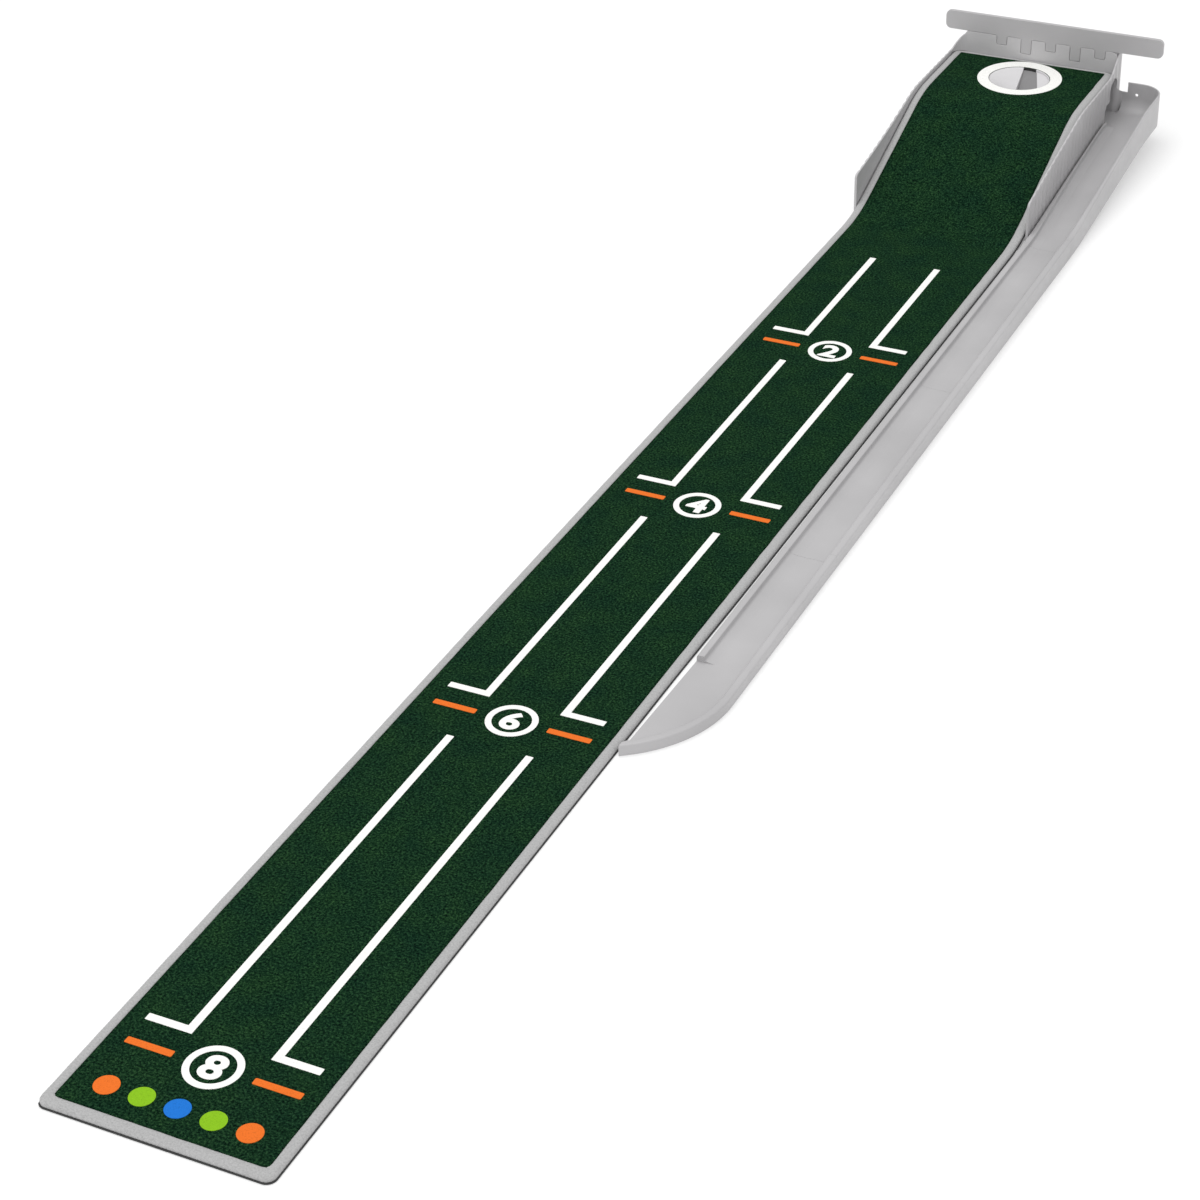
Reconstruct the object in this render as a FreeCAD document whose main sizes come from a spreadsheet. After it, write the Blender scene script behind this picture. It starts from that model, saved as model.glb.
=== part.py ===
import FreeCAD, Part
import math
import os
import re
import Sketcher

# A practice putting mat with a ramp, a sunken cup and a gravity ball return.
# x runs across the mat, y along it towards the cup, z up from the floor.
# Every outline is given in a design frame: x = 0 on the mat's centre line and
# y = 0 near the middle of the ramp. A shift then centres the whole object on its box.

doc = FreeCAD.newDocument("putting_mat")

SIZES = {
    # mat
    "mat_width": 300, "mat_thick": 6, "pile_thick": 3, "mat_near": -2562, "mat_far": 362,
    "binding_width": 16.5, "binding_proud": 0.4, "mat_corner": 14,
    "turf_top": 116, "foot_y": -153, "crest_y": 157, "foot_radius": 300, "crest_radius": 250,
    "hole_y": 277, "cup_radius": 54.5,
    # ramp
    "deck_thick": 3, "deck_gap": 0.3, "deck_toe": -165, "deck_hole": 56, "wall_inner": 152, "wall_thick": 4,
    "wall_front": -130, "wall_front_top": 70, "wall_top": 122, "wall_level_y": 150,
    "ramp_base": 2, "pan_thick": 3, "fit_gap": 0.2,
    "rear_front": 364, "rear_back": 384, "rear_top": 155, "skin": 3, "rear_hollow": 116,
    "flute_pitch": 20, "flute_radius": 4, "flute_depth": 0.8, "flute_count": 24,
    "port_front": 312, "port_back": 366, "port_low": 34, "port_top": 112,
    "rib_thick": 3, "rib_first": -75, "rib_step": 90,
    "post_x": 130, "post_front": 60, "post_back": 190, "post_radius": 5, "pilot_radius": 1.7,
    "screw_head": 4, "screw_head_tall": 1.6, "screw_shank": 1.6, "screw_length": 12,
    "foot_pad_radius": 9, "foot_pad_x": 130, "foot_pad_first": -100, "foot_pad_step": 215,
    "strip_half": 120, "strip_width": 14, "strip_thick": 1, "strip_front": 204, "strip_back": 344,
    # cup chute
    "chute_front": 214, "chute_back": 360, "chute_left": -66, "chute_right": 150,
    "chute_top": 106.5, "ledge_x": -8, "ledge_low": 97,
    # backstop
    "bar_left": -172, "bar_right": 234, "bar_low": 155.3, "bar_high": 190, "bar_thick": 7,
    "bar_round": 10, "tab_first": -64, "tab_pitch": 46, "tab_half": 9.5, "tab_short": 138.5,
    "tab_long": 127.5, "tab_gap": 0.4, "tab_round": 3,
    # return track
    "track_in": 158.5, "track_out": 240, "track_wall": 3, "tray_seam": -160, "head_front": 293,
    "head_back": 384, "head_wall": 96, "head_round": 42, "head_floor": 43, "head_left": 172,
    "low_floor": 6.5, "floor_drop": 1, "low_wall": 32, "wall_drop": 6.5, "section_length": 528,
    "ridge_tall": 9, "rail_width": 12, "lower_skin": 2.5, "section_gap": 0.3,
    "tongue_left": 20, "tongue_rise": 16, "tongue_lip": 98, "hang_hole": 3,
    "hang_x": 189, "hang_z": 74,
    "scoop_top": -1509, "scoop_left": 153, "scoop_turn": -1681, "scoop_tip": -1737.6,
    "scoop_round": 185, "scoop_wall": 12.5,
    # from the design frame to the middle of the object's box
    "shift_x": -34, "shift_y": 1089,
}
SECTIONS = ("upper_track", "middle_track", "end_track")
TAB_DROPS = ("tab_short", "tab_long", "tab_short", "tab_long", "tab_short")

sheet = doc.addObject("Spreadsheet::Sheet", "size")
for row, (alias, value) in enumerate(SIZES.items(), start=1):
    sheet.set(f"A{row}", alias)
    sheet.set(f"B{row}", str(value))
    sheet.setAlias(f"B{row}", alias)
doc.recompute()

HALF_TAN = "tan(atan((turf_top - mat_thick) / (crest_y - foot_y)) / 2)"
SLOPE = "((turf_top - mat_thick) / (crest_y - foot_y))"
COS_SLOPE = f"cos(atan({SLOPE}))"
DECK_TOP = "(mat_thick + deck_gap)"
DEEP = f"({DECK_TOP} + deck_thick)"
PAN_TOP = "(ramp_base + pan_thick)"

subparts = []


def cells(text):
    """Turn the plain names in an expression into references to the sheet."""
    return re.sub(r"[a-z_]+", lambda word: f"size.{word[0]}" if word[0] in SIZES else word[0], str(text))


def value(text):
    """What an expression comes to with the sheet's present sizes."""
    return float(sheet.evalExpression(cells(text)))


def new_body(label):
    body = doc.addObject("PartDesign::Body", label)
    body.Label = label
    body.AllowCompound = True
    body.setExpression("Placement.Base.x", "size.shift_x")
    body.setExpression("Placement.Base.y", "size.shift_y")
    subparts.append(body)
    return body


def new_sketch(body, role, at="0"):
    """A sketch on one of the body's origin planes; XZ sketches are placed by their y."""
    sketch = body.newObject("Sketcher::SketchObject", body.Name + "_sketch")
    plane = next(item for item in body.Origin.OriginFeatures if item.Role == role)
    sketch.AttachmentSupport = [(plane, "")]
    sketch.MapMode = "FlatFace"
    offset = f"-({at})" if role == "XZ_Plane" else at
    sketch.setExpression("AttachmentOffset.Base.z", cells(offset))
    return sketch


def hold_point(sketch, geometry, end, across, up):
    """Fix one point of the sketch at two expressions."""
    for kind, text in (("DistanceX", across), ("DistanceY", up)):
        index = sketch.addConstraint(Sketcher.Constraint(kind, -1, 1, geometry, end, value(text)))
        sketch.setExpression(f"Constraints[{index}]", cells(text))


def rounded_corner(before, corner, after, radius):
    """Where an arc leaves the two lines at a corner, its centre and which way it turns."""
    into = (corner - before).normalize()
    out = (after - corner).normalize()
    turn = into.getAngle(out)
    reach = radius * math.tan(turn / 2)
    start = corner - into * reach
    left = into.cross(out).z > 0
    normal = FreeCAD.Vector(-into.y, into.x, 0) * (1 if left else -1)
    return start, corner + out * reach, start + normal * radius, left


def outline(sketch, corners):
    """A closed loop of lines through (across, up) corners; a third entry rounds the corner."""
    count = len(corners)
    points = [FreeCAD.Vector(value(corner[0]), value(corner[1]), 0) for corner in corners]
    arcs = {}
    for index, corner in enumerate(corners):
        if len(corner) == 3:
            neighbours = points[index - 1], points[index], points[(index + 1) % count]
            arcs[index] = rounded_corner(*neighbours, value(corner[2]))
    lines = []
    for index in range(count):
        after = (index + 1) % count
        start = arcs[index][1] if index in arcs else points[index]
        end = arcs[after][0] if after in arcs else points[after]
        lines.append(sketch.addGeometry(Part.LineSegment(start, end), False))
    for index, corner in enumerate(corners):
        last, here = lines[index - 1], lines[index]
        if index not in arcs:
            sketch.addConstraint(Sketcher.Constraint("Coincident", last, 2, here, 1))
            hold_point(sketch, here, 1, corner[0], corner[1])
            continue
        start, end, centre, left = arcs[index]
        first, second = (start, end) if left else (end, start)
        radius = value(corner[2])
        circle = Part.Circle(centre, FreeCAD.Vector(0, 0, 1), radius)
        angles = [math.atan2(spot.y - centre.y, spot.x - centre.x) for spot in (first, second)]
        arc = sketch.addGeometry(Part.ArcOfCircle(circle, *angles), False)
        arc_in, arc_out = (1, 2) if left else (2, 1)
        sketch.addConstraint(Sketcher.Constraint("Tangent", last, 2, arc, arc_in))
        sketch.addConstraint(Sketcher.Constraint("Tangent", arc, arc_out, here, 1))
        size = sketch.addConstraint(Sketcher.Constraint("Radius", arc, radius))
        sketch.setExpression(f"Constraints[{size}]", cells(corner[2]))
        mark = sketch.addGeometry(Part.Point(points[index]), True)
        sketch.addConstraint(Sketcher.Constraint("PointOnObject", mark, 1, last))
        sketch.addConstraint(Sketcher.Constraint("PointOnObject", mark, 1, here))
        hold_point(sketch, mark, 1, corner[0], corner[1])
    return sketch


def rectangle(sketch, left, low, right, high, radius=None):
    corners = [(left, low), (right, low), (right, high), (left, high)]
    return outline(sketch, [corner + ((radius,) if radius else ()) for corner in corners])


def circle(sketch, across, up, radius):
    centre = FreeCAD.Vector(value(across), value(up), 0)
    ring = sketch.addGeometry(Part.Circle(centre, FreeCAD.Vector(0, 0, 1), value(radius)), False)
    hold_point(sketch, ring, 3, across, up)
    size = sketch.addConstraint(Sketcher.Constraint("Radius", ring, value(radius)))
    sketch.setExpression(f"Constraints[{size}]", cells(radius))
    return sketch


def pad(body, sketch, length, both=False, back=False):
    feature = body.newObject("PartDesign::Pad", body.Name + "_pad")
    feature.Profile = sketch
    feature.SideType = "Symmetric" if both else "One side"
    feature.Reversed = back
    feature.setExpression("Length", cells(length))
    doc.recompute()
    return feature


def cut(body, sketch, length=None, back=False):
    """Cut through everything, or to a length, and make sure that material really went."""
    before = body.Shape.Volume
    feature = body.newObject("PartDesign::Pocket", body.Name + "_cut")
    feature.Profile = sketch
    if length is None:
        feature.SideType = "Symmetric"
        feature.Type = "ThroughAll"
    else:
        feature.Reversed = back
        feature.setExpression("Length", cells(length))
    doc.recompute()
    if body.Shape.Volume > before - 1e-3:
        raise RuntimeError(f"{feature.Label} cuts nothing")
    return feature


def layer(depth, near, far):
    """The surface a given depth below the turf's top, from its near end to its far end."""
    shift = f"({depth}) * {HALF_TAN}"
    return [
        (near, f"mat_thick - ({depth})"),
        (f"foot_y + {shift}", f"mat_thick - ({depth})", f"foot_radius + ({depth})"),
        (f"crest_y + {shift}", f"turf_top - ({depth})", f"crest_radius - ({depth})"),
        (far, f"turf_top - ({depth})"),
    ]


def bent_sheet(body, top, bottom, near, far, width):
    """A layer that lies flat on the floor, climbs the ramp and ends level at its top."""
    corners = layer(bottom, near, far) + layer(top, near, far)[::-1]
    return pad(body, outline(new_sketch(body, "YZ_Plane"), corners), width, both=True)


def make_mat():
    inside = "mat_width - 2 * binding_width"
    for label, top, bottom in (("turf_pile", "0", "pile_thick"), ("mat_backing", "pile_thick", "mat_thick")):
        body = new_body(label)
        bent_sheet(body, top, bottom, "mat_near + binding_width", "mat_far", inside)
        cut(body, circle(new_sketch(body, "XY_Plane"), "0", "hole_y", "cup_radius"))
    body = new_body("edge_binding")
    whole = bent_sheet(body, "-binding_proud", "mat_thick", "mat_near", "mat_far", "mat_width")
    corners = []
    for number, edge in enumerate(whole.Shape.Edges, start=1):
        upright = abs(edge.tangentAt(edge.FirstParameter).z) > 0.99
        if upright and edge.CenterOfMass.y < value("mat_near") + 1:
            corners.append(f"Edge{number}")
    rounding = body.newObject("PartDesign::Fillet", "mat_corners")
    rounding.Base = (whole, corners)
    rounding.setExpression("Radius", "size.mat_corner")
    doc.recompute()
    half = "(mat_width / 2 - binding_width)"
    window = new_sketch(body, "XY_Plane")
    cut(body, rectangle(window, f"-{half}", "mat_near + binding_width", half, "mat_far + 1"))


def under_deck(y_place):
    """Height of the deck's underside on the straight part of the slope."""
    return f"(mat_thick + ({y_place} - foot_y) * {SLOPE} - {DEEP} / {COS_SLOPE})"


def post_places():
    return [(f"{side} * post_x", y_place) for y_place in ("post_front", "post_back") for side in (-1, 1)]


def make_deck():
    body = new_body("ramp_deck")
    bent_sheet(body, DECK_TOP, DEEP, "deck_toe - 50", "rear_front", "2 * (wall_inner - fit_gap)")
    toe = [("deck_toe - 60", "-20"), ("0", "-20"), ("0", "0"), ("deck_toe", "0"),
           ("deck_toe", "30"), ("deck_toe - 60", "30")]
    cut(body, outline(new_sketch(body, "YZ_Plane"), toe))
    for y_place, top in (("post_front", under_deck("post_front")), ("post_back", f"turf_top - {DEEP}")):
        posts = new_sketch(body, "XY_Plane", PAN_TOP)
        for side in (-1, 1):
            circle(posts, f"{side} * post_x", y_place, "post_radius")
        pad(body, posts, f"{top} + 0.5 * deck_thick - {PAN_TOP}")
    pilots = new_sketch(body, "XY_Plane", PAN_TOP)
    for across, y_place in post_places():
        circle(pilots, across, y_place, "pilot_radius")
    cut(body, pilots, "screw_length + 1", back=True)
    cut(body, circle(new_sketch(body, "XY_Plane"), "0", "hole_y", "deck_hole"))
    for start in ("strip_front", "strip_back"):
        recess = new_sketch(body, "XY_Plane", f"turf_top - {DECK_TOP}")
        cut(body, rectangle(recess, "-strip_half", start, "strip_half", f"{start} + strip_width"),
            "strip_thick")
    strips = new_body("hook_strips")
    flat = new_sketch(strips, "XY_Plane", f"turf_top - {DECK_TOP} - strip_thick")
    for start in ("strip_front", "strip_back"):
        rectangle(flat, "-strip_half", start, "strip_half", f"{start} + strip_width")
    pad(strips, flat, "strip_thick")


def make_ribs():
    body = new_body("deck_ribs")
    reach = "(wall_inner - fit_gap)"
    for index in range(3):
        y_place = f"(rib_first + {index} * rib_step)"
        web = new_sketch(body, "XZ_Plane", y_place)
        rectangle(web, f"-{reach}", PAN_TOP, reach, f"{under_deck(y_place)} - fit_gap")
        pad(body, web, "rib_thick", back=True)


def make_pan():
    body = new_body("base_pan")
    reach = "(wall_inner - fit_gap)"
    plate = new_sketch(body, "XY_Plane", "ramp_base")
    pad(body, rectangle(plate, f"-{reach}", "wall_front + 2", reach, "rear_front - fit_gap"), "pan_thick")
    for radius, depth in (("screw_shank + 0.3", "pan_thick"), ("screw_head + 0.3", "screw_head_tall")):
        holes = new_sketch(body, "XY_Plane", "ramp_base")
        for across, y_place in post_places():
            circle(holes, across, y_place, radius)
        cut(body, holes, depth, back=True)
    screws = new_body("deck_screws")
    for radius, length in (("screw_head", "screw_head_tall"), ("screw_shank", f"screw_length + {PAN_TOP} - ramp_base")):
        shafts = new_sketch(screws, "XY_Plane", "ramp_base")
        for across, y_place in post_places():
            circle(shafts, across, y_place, radius)
        pad(screws, shafts, length)
    feet = new_body("rubber_feet")
    pads = new_sketch(feet, "XY_Plane")
    for index in range(3):
        for side in (-1, 1):
            circle(pads, f"{side} * foot_pad_x", f"foot_pad_first + {index} * foot_pad_step", "foot_pad_radius")
    pad(feet, pads, "ramp_base")


def make_side_wall(label, side):
    """One upright side of the ramp; the right one has the arched ball port."""
    body = new_body(label)
    face = new_sketch(body, "YZ_Plane", f"{side} * wall_inner")
    corners = [("wall_front", "ramp_base"), ("wall_front", "wall_front_top", "6"),
               ("wall_level_y", "wall_top", "200")]
    if side > 0:
        corners += [("rear_front - 18", "wall_top + 2", "22"), ("rear_front + 2", "rear_top - 2", "6"),
                    ("rear_back", "rear_top - 2", "6"), ("rear_back", "ramp_base")]
    else:
        corners += [("rear_back", "wall_top + 1", "8"), ("rear_back", "ramp_base")]
    pad(body, outline(face, corners[::-1]), "wall_thick", back=side < 0)
    groove = new_sketch(body, "XY_Plane")
    circle(groove, f"{side} * (wall_inner + wall_thick + flute_radius - flute_depth)",
           "wall_front + flute_pitch", "flute_radius")
    first = cut(body, groove)
    flutes = body.newObject("PartDesign::LinearPattern", label + "_flutes")
    flutes.Originals = [first]
    flutes.Direction = (groove, ["V_Axis"])
    flutes.setExpression("Occurrences", "size.flute_count")
    flutes.setExpression("Length", "size.flute_pitch * (size.flute_count - 1)")
    body.Tip = flutes
    doc.recompute()
    if side > 0:
        arch = [("port_front", "port_low"), ("port_back", "port_low"),
                ("port_back", "port_top", "24"), ("port_front", "port_top", "24")]
        cut(body, outline(new_sketch(body, "YZ_Plane"), arch))


def tab_span(index, spare="0"):
    middle = f"tab_first + {index} * tab_pitch"
    return f"{middle} - tab_half - ({spare})", f"{middle} + tab_half + ({spare})"


def make_rear_wall():
    body = new_body("rear_wall")
    reach = "(wall_inner - fit_gap)"
    face = new_sketch(body, "XZ_Plane", "rear_front")
    outline(face, [(f"-{reach}", "ramp_base"), (reach, "ramp_base"), (reach, "rear_top"),
                   ("-116", "rear_top", "16"), ("-140", "wall_top", "12"), (f"-{reach}", "wall_top")])
    pad(body, face, "rear_back - rear_front", back=True)
    hollow = new_sketch(body, "XY_Plane", "ramp_base")
    rectangle(hollow, f"skin - {reach}", "rear_front + skin", f"{reach} - skin", "rear_back - skin")
    cut(body, hollow, "rear_hollow - ramp_base", back=True)
    for index, drop in enumerate(TAB_DROPS):
        left, right = tab_span(index, "tab_gap")
        notch = new_sketch(body, "XZ_Plane", "rear_front")
        rectangle(notch, left, f"{drop} - tab_gap", right, "rear_top + 9", "tab_round")
        cut(body, notch, "bar_thick + tab_gap", back=False)


def make_backstop():
    body = new_body("backstop_bar")
    bar = new_sketch(body, "XZ_Plane", "rear_front")
    rectangle(bar, "bar_left", "bar_low", "bar_right", "bar_high", "bar_round")
    pad(body, bar, "bar_thick", back=True)
    for index, drop in enumerate(TAB_DROPS):
        left, right = tab_span(index)
        tab = new_sketch(body, "XZ_Plane", "rear_front")
        rectangle(tab, left, drop, right, "bar_low + 9", "tab_round")
        pad(body, tab, "bar_thick", back=True)


def make_chute():
    """The box under the hole: a ledge on the left, then a floor that leads to the ball port."""
    body = new_body("cup_chute")
    shell = new_sketch(body, "XZ_Plane", "chute_front")
    outline(shell, [("chute_left", "chute_top"), ("chute_left", "ledge_low"), ("ledge_x - skin", "ledge_low - 5"),
                    ("ledge_x - skin", "46"), ("chute_right", "32"), ("chute_right", "chute_top")])
    pad(body, shell, "chute_back - chute_front", back=True)
    ledge = [("chute_right + 1", "chute_top + 1"), ("chute_left + skin", "chute_top + 1"),
             ("chute_left + skin", "ledge_low + 5"), ("ledge_x", "ledge_low")]
    front = new_sketch(body, "XZ_Plane", "chute_front + skin")
    outline(front, ledge + [("ledge_x", "66"), ("chute_right - skin", "57"), ("chute_right - skin", "chute_top"),
                            ("chute_right + 1", "chute_top")])
    cut(body, front, "port_front - chute_front - skin")
    back = new_sketch(body, "XZ_Plane", "port_front")
    outline(back, ledge + [("ledge_x", "50"), ("chute_right + 1", "35")])
    cut(body, back, "chute_back - skin - port_front")
    under = new_sketch(body, "XZ_Plane", "chute_front + skin")
    outline(under, [("ledge_x + skin", "44"), ("chute_right - 2 * skin", "30"),
                    ("chute_right - 2 * skin", "54"), ("ledge_x + skin", "62.8")])
    cut(body, under, "port_front - chute_front - 2 * skin")
    guide = new_body("ball_guide")
    wall = new_sketch(guide, "XY_Plane", "68")
    outline(wall, [("60", "chute_front + skin + fit_gap"), ("64.5", "chute_front + skin + fit_gap"),
                   ("chute_right - skin - fit_gap", "port_front - 5"),
                   ("chute_right - skin - fit_gap", "port_front - 1")])
    pad(guide, wall, "chute_top - 68")


def tray_section(floor_top, wall_high):
    """Cross-section of the inclined tray: a thin lip beside the ramp and a tall outer wall."""
    return [("track_in", f"{floor_top} - 5"), ("track_out", f"{floor_top} - 6.5"), ("track_out", wall_high),
            ("track_out - track_wall", wall_high), ("track_out - track_wall - 3", floor_top, "10"),
            ("track_in + track_wall", floor_top, "5"), ("track_in + track_wall", f"{floor_top} + ridge_tall"),
            ("track_in", f"{floor_top} + ridge_tall")]


def loft(body, role_places, section):
    """Join two cross-sections, each given as (y place, arguments of the section)."""
    sketches = [outline(new_sketch(body, "XZ_Plane", place), section(*sizes)) for place, sizes in role_places]
    feature = body.newObject("PartDesign::AdditiveLoft", body.Name + "_loft")
    feature.Profile = sketches[0]
    feature.Sections = sketches[1:]
    feature.Ruled = True
    doc.recompute()
    return feature


def head_plan(inset):
    """Plan of the tray's head: straight beside the ramp, round at its outer back corner."""
    return [("track_in", "head_front"), (f"track_out - ({inset})", "head_front"),
            (f"track_out - ({inset})", f"head_back - ({inset})", f"head_round - ({inset})"),
            ("track_in", f"head_back - ({inset})")]


def make_tray():
    body = new_body("return_tray")
    loft(body, [("tray_seam", ("low_floor", "low_wall")), ("head_front", ("head_floor", "head_wall"))], tray_section)
    block = outline(new_sketch(body, "XY_Plane", "head_floor - 6.5"), head_plan("0"))
    pad(body, block, "head_wall - head_floor + 6.5")
    hollow = outline(new_sketch(body, "XY_Plane", "head_floor"), [
        ("track_in - 1", "head_front - 0.01"), ("track_out - track_wall", "head_front - 0.01"),
        ("track_out - track_wall", "head_back - track_wall", "head_round - track_wall"),
        ("track_in - 1", "head_back - track_wall")])
    cut(body, hollow, "head_wall", back=True)
    gap = new_sketch(body, "XY_Plane", "head_floor")
    rectangle(gap, "track_in - 1", "head_back - 2 * track_wall", "head_left", "head_back + 1")
    cut(body, gap, "head_wall", back=True)
    tongue = new_sketch(body, "XZ_Plane", "port_front + 2")
    outline(tongue, [("tongue_left", "head_floor + tongue_rise - 3"), ("track_in + 1", "head_floor - 3"),
                     ("track_in + 1", "head_floor"), ("tongue_left", "head_floor + tongue_rise")])
    pad(body, tongue, "chute_back - skin - port_front - 4", back=True)
    lip = new_sketch(body, "XZ_Plane", "chute_back - 2 * skin - 2")
    outline(lip, [("tongue_left", "head_floor + tongue_rise - 1"), ("track_in + 1", "head_floor - 1"),
                  ("track_in + 1", "head_wall - 20"), ("tongue_left", "tongue_lip")])
    pad(body, lip, "skin", back=True)
    eye = circle(new_sketch(body, "XZ_Plane", "head_back + 1"), "hang_x", "hang_z", "hang_hole")
    cut(body, eye, "track_wall + 3", back=True)


def track_section(floor_top, wall_high):
    """Cross-section of the flat track: a thin shell with a low ridge and a round outer rail."""
    return [("track_in", "0"), ("track_in + lower_skin", "0"),
            ("track_in + lower_skin", f"{floor_top} + ridge_tall - lower_skin"),
            ("track_in + 8", f"{floor_top} + ridge_tall - lower_skin"),
            ("track_in + 15.5", f"{floor_top} - lower_skin"),
            ("track_out - rail_width - 3", f"{floor_top} - lower_skin"),
            ("track_out - rail_width + 2", f"{wall_high} - lower_skin"),
            ("track_out - lower_skin", f"{wall_high} - lower_skin"), ("track_out - lower_skin", "0"),
            ("track_out", "0"), ("track_out", wall_high, "3"), ("track_out - rail_width", wall_high, "3"),
            ("track_out - rail_width - 4", floor_top, "4"), ("track_in + 17", floor_top, "4"),
            ("track_in + 10", f"{floor_top} + ridge_tall", "4"), ("track_in", f"{floor_top} + ridge_tall", "4")]


def join_tab(body, start, floor_top):
    """The tongue under a section's upper end that slides below its neighbour's floor."""
    under = f"({floor_top} - lower_skin)"
    side = new_sketch(body, "YZ_Plane", "194")
    outline(side, [(f"{start} - 10", f"{under} - 1.3"), (f"{start} + 14", f"{under} - 1.3"),
                   (f"{start} + 14", f"{under} - 0.4"), (f"{start} - 1", f"{under} - 0.4"),
                   (f"{start} - 1", f"{under} + 0.6"), (f"{start} - 10", f"{under} + 0.6")])
    pad(body, side, "20")


def make_track():
    for index, label in enumerate(SECTIONS):
        body = new_body(label)
        last = label == SECTIONS[-1]
        start = f"(tray_seam - section_gap - {index} * section_length)"
        end = "scoop_top" if last else f"(tray_seam - {index + 1} * section_length)"
        ends = []
        for place in (end, start):
            along = f"((tray_seam - {place}) / section_length)"
            ends.append((place, (f"(low_floor - floor_drop * {along})", f"(low_wall - wall_drop * {along})")))
        loft(body, ends, track_section)
        if index:
            join_tab(body, start, f"(low_floor - floor_drop * {index})")
        if last:
            add_scoop(body)


def add_scoop(body):
    """The shallow dish at the track's end, where the ball stops beside the mat."""
    plan = outline(new_sketch(body, "XY_Plane"), [
        ("scoop_left", "scoop_tip"), ("track_out", "scoop_turn", "scoop_round"),
        ("track_out", "scoop_top + 0.5"), ("scoop_left", "scoop_top + 0.5")])
    pad(body, plan, "scoop_wall + 3")
    inner = "(track_out - rail_width)"
    dish = outline(new_sketch(body, "XY_Plane", "low_floor - 2.6 * floor_drop"), [
        ("scoop_left - 1", "scoop_tip + 11"), (inner, "scoop_turn + 7", "scoop_round - rail_width"),
        (inner, "scoop_top + 1"), ("scoop_left - 1", "scoop_top + 1")])
    cut(body, dish, "40", back=True)


make_mat()
make_deck()
make_ribs()
make_pan()
make_side_wall("left_side_wall", -1)
make_side_wall("right_side_wall", 1)
make_rear_wall()
make_backstop()
make_chute()
make_tray()
make_track()
doc.recompute()

for item in doc.Objects:
    if {"Invalid", "Error"} & set(item.State):
        raise RuntimeError(f"{item.Label} failed: {item.State}")
for body in subparts:
    if body.Shape.isNull() or not body.Shape.isValid():
        raise RuntimeError(f"{body.Label} has no valid shape")

os.makedirs("parts", exist_ok=True)
for body in subparts:
    body.Shape.exportStep(f"parts/{body.Label}.step")
    box = body.Shape.BoundBox
    print(f"{body.Label}: {len(body.Shape.Solids)} solids, {body.Shape.Volume / 1000:.1f} cm3, "
          f"x {box.XMin:.1f}..{box.XMax:.1f}, y {box.YMin:.1f}..{box.YMax:.1f}, z {box.ZMin:.1f}..{box.ZMax:.1f}")
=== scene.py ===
import math

import bmesh
import bpy
from mathutils import Matrix, Vector, noise


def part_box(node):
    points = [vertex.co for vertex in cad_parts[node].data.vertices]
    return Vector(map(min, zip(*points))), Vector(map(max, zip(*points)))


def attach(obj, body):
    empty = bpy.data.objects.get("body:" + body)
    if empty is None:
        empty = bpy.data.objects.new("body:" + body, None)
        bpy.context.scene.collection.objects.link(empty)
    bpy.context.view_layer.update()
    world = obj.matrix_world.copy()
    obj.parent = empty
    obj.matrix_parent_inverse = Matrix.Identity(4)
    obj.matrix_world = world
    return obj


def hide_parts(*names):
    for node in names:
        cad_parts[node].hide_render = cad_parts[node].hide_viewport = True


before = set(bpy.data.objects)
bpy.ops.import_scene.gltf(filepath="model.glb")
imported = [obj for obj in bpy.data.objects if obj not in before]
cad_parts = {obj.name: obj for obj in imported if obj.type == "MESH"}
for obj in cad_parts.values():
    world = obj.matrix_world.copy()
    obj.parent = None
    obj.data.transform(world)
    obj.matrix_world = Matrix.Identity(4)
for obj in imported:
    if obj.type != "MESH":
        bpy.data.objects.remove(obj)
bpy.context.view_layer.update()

# ---------------------------------------------------------------- the design frame
# Pieces are drawn in millimetres: x = 0 on the mat's centre line, y grows towards the
# cup and z is up from the floor. to_world() takes a point to the frame's metres.
MM = 0.001
BINDING_LOW, BINDING_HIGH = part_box("edge_binding")
MAT_FAR = 362
CENTRE = Vector(((BINDING_LOW.x + BINDING_HIGH.x) / 2, BINDING_HIGH.y - MAT_FAR * MM, 0))


def to_world(point):
    return CENTRE + Vector(point) * MM


def span(node):
    """Lowest and highest corner of a CAD node, in the design frame."""
    low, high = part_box(node)
    return (low - CENTRE) / MM, (high - CENTRE) / MM


MAT_LOW, MAT_HIGH = span("edge_binding")
TURF_LOW, TURF_HIGH = span("turf_pile")
TURF_TOP = TURF_HIGH.z
MAT_THICK = 6.0
FOOT_Y, CREST_Y = MAT_FAR - 515, MAT_FAR - 205
FOOT_RADIUS, CREST_RADIUS = 300, 250
HOLE_Y, HOLE_RADIUS = MAT_FAR - 85, 54.5
RAMP_ANGLE = math.atan2(TURF_TOP - MAT_THICK, CREST_Y - FOOT_Y)


def mat_line(y):
    """Height of the turf's top and its slope angle at a distance along the mat."""
    half = math.tan(RAMP_ANGLE / 2)
    rise = math.sin(RAMP_ANGLE)
    foot_start = FOOT_Y - FOOT_RADIUS * half
    foot_end = foot_start + FOOT_RADIUS * rise
    crest_end = CREST_Y + CREST_RADIUS * half
    crest_start = crest_end - CREST_RADIUS * rise
    if y <= foot_start:
        return MAT_THICK, 0.0
    if y < foot_end:
        angle = math.asin((y - foot_start) / FOOT_RADIUS)
        return MAT_THICK + FOOT_RADIUS * (1 - math.cos(angle)), angle
    if y <= crest_start:
        return MAT_THICK + (y - FOOT_Y) * math.tan(RAMP_ANGLE), RAMP_ANGLE
    if y < crest_end:
        angle = math.asin((crest_end - y) / CREST_RADIUS)
        return TURF_TOP - CREST_RADIUS * (1 - math.cos(angle)), angle
    return TURF_TOP, 0.0


def on_turf(x, y, lift=0.0):
    """A point a given height above the turf, square to its surface."""
    z, angle = mat_line(y)
    return x, y - math.sin(angle) * lift, z + math.cos(angle) * lift


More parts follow.
